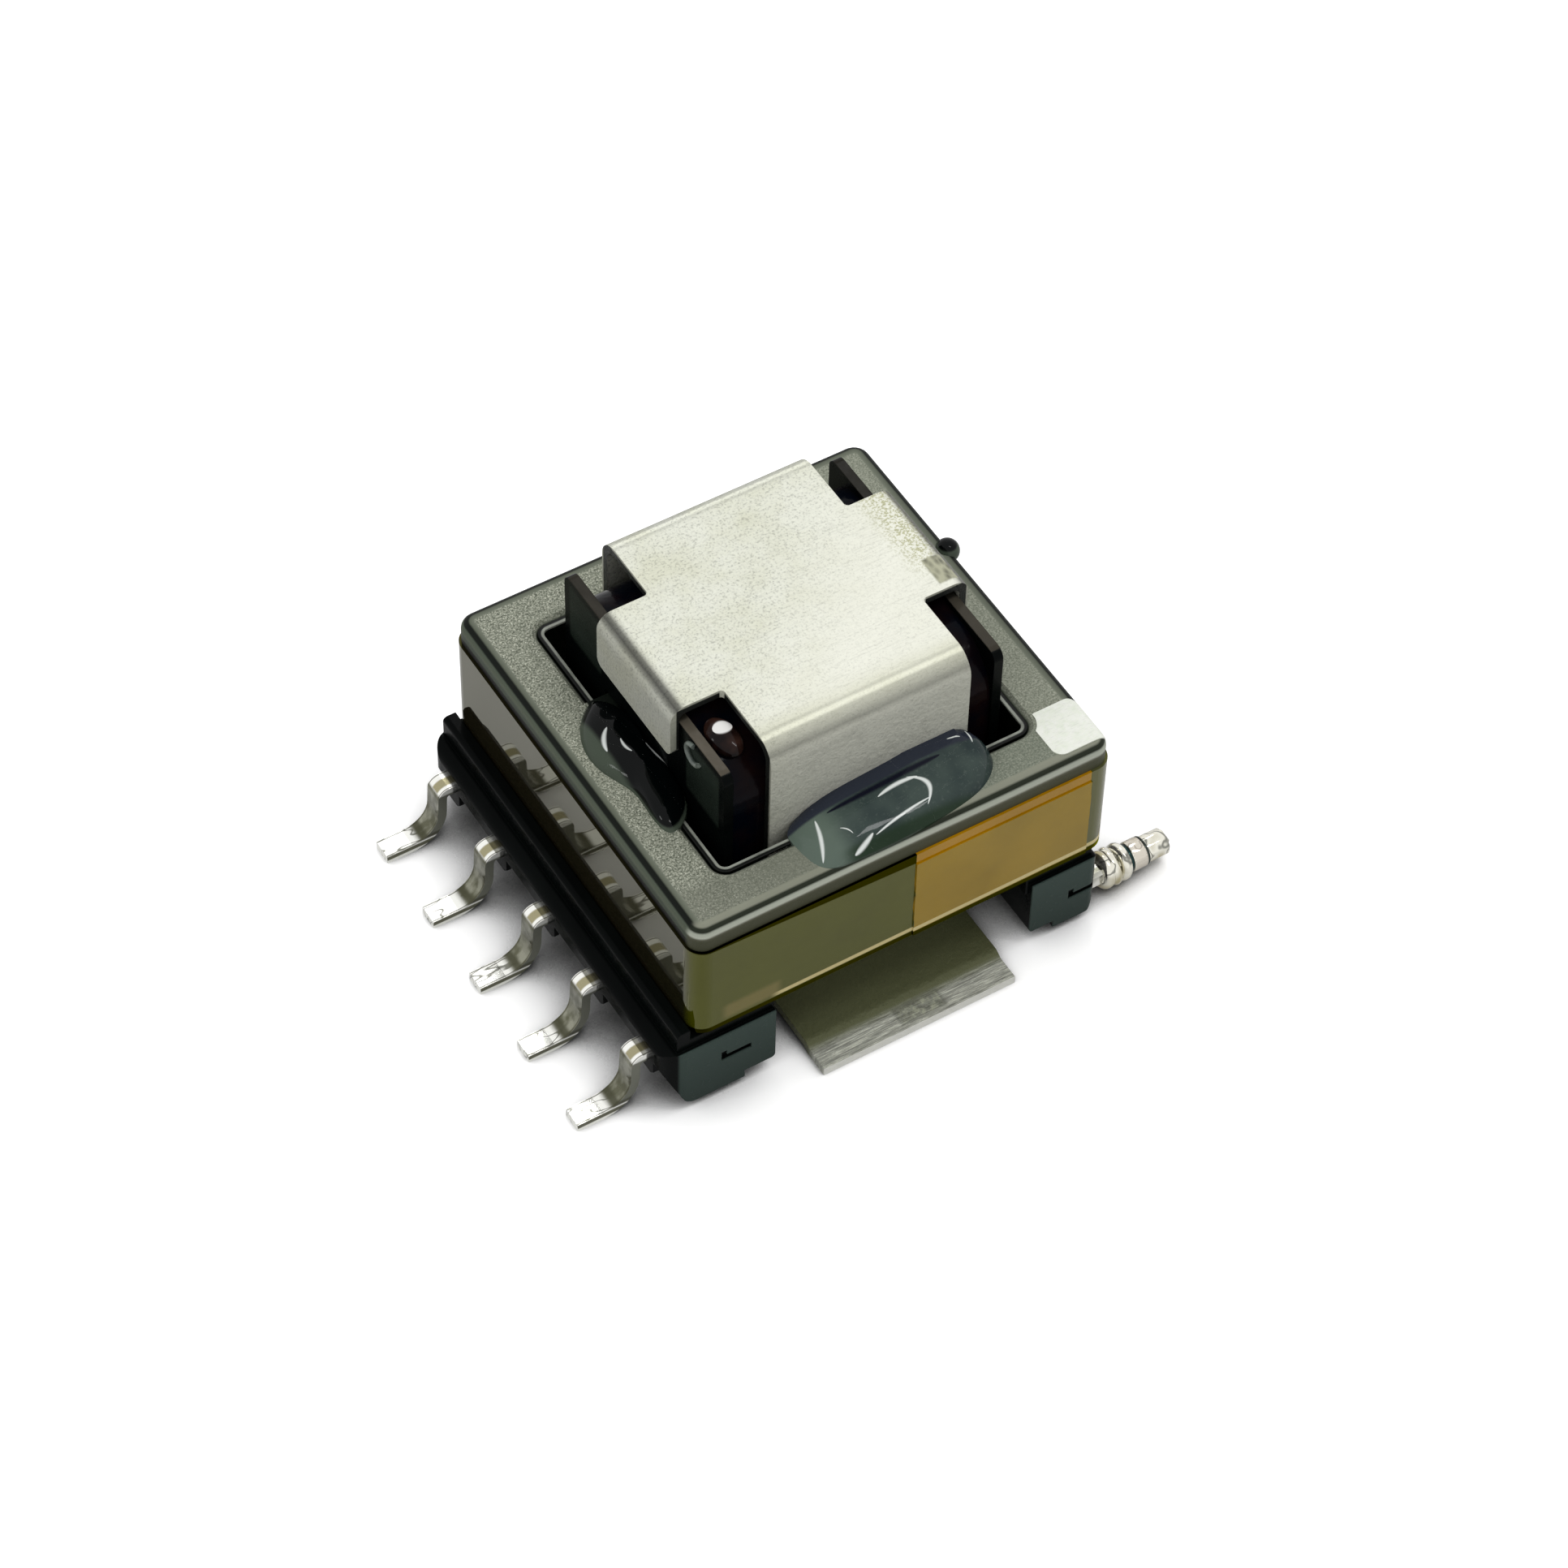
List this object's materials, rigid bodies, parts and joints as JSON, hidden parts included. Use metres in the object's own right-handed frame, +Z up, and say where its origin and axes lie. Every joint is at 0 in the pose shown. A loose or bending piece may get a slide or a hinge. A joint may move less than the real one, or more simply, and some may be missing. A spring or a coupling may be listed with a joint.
{
  "type": "pcb transformer",
  "caption": "Surface-mount power transformer with a taped ferrite core laid flat, a folded copper strap winding, bent leads on one side and wire-wrapped posts on the other.",
  "frame": {"origin": "on the board plane, under the middle of the core", "axes": "+Z up from the board; +X from the row of bent leads to the row of straight posts; Y along the rows"},
  "size_m": [0.0178, 0.014, 0.0099],
  "materials": {
    "ferrite": "fine-grained sintered ferrite, dark grey with pale specks",
    "core_tape": "glossy amber-olive polyester tape over dark ferrite",
    "moulding": "black moulded phenolic, semi-gloss",
    "tinned_copper": "matte tin plating on copper sheet",
    "enamelled_wire": "enamelled copper wire",
    "winding_tape": "glossy dark brown varnished tape",
    "tinned_lead": "tin-plated lead, bright",
    "solder": "solder over wound wire, bright",
    "mark_paint": "matte white ink",
    "adhesive": "glossy dark translucent epoxy"
  },
  "bodies": {
    "root": {"auxiliary_winding": "enamelled_wire", "bobbin": "moulding", "copper_strap": "tinned_copper", "core_half_left": "ferrite", "core_half_right": "ferrite", "core_tape": "core_tape", "glue_front": "adhesive", "glue_left": "adhesive", "glue_right": "adhesive", "insulation_tape": "winding_tape", "lead_1": "tinned_lead", "lead_2": "tinned_lead", "lead_3": "tinned_lead", "lead_4": "tinned_lead", "lead_5": "tinned_lead", "polarity_mark": "mark_paint", "post_1": "tinned_lead", "post_2": "tinned_lead", "post_3": "tinned_lead", "post_4": "tinned_lead", "primary_winding": "enamelled_wire", "winding_cover_tape": "winding_tape", "wire_wrap_1": "solder", "wire_wrap_2": "solder", "wire_wrap_3": "solder", "wire_wrap_4": "solder"}
  },
  "joints": []
}
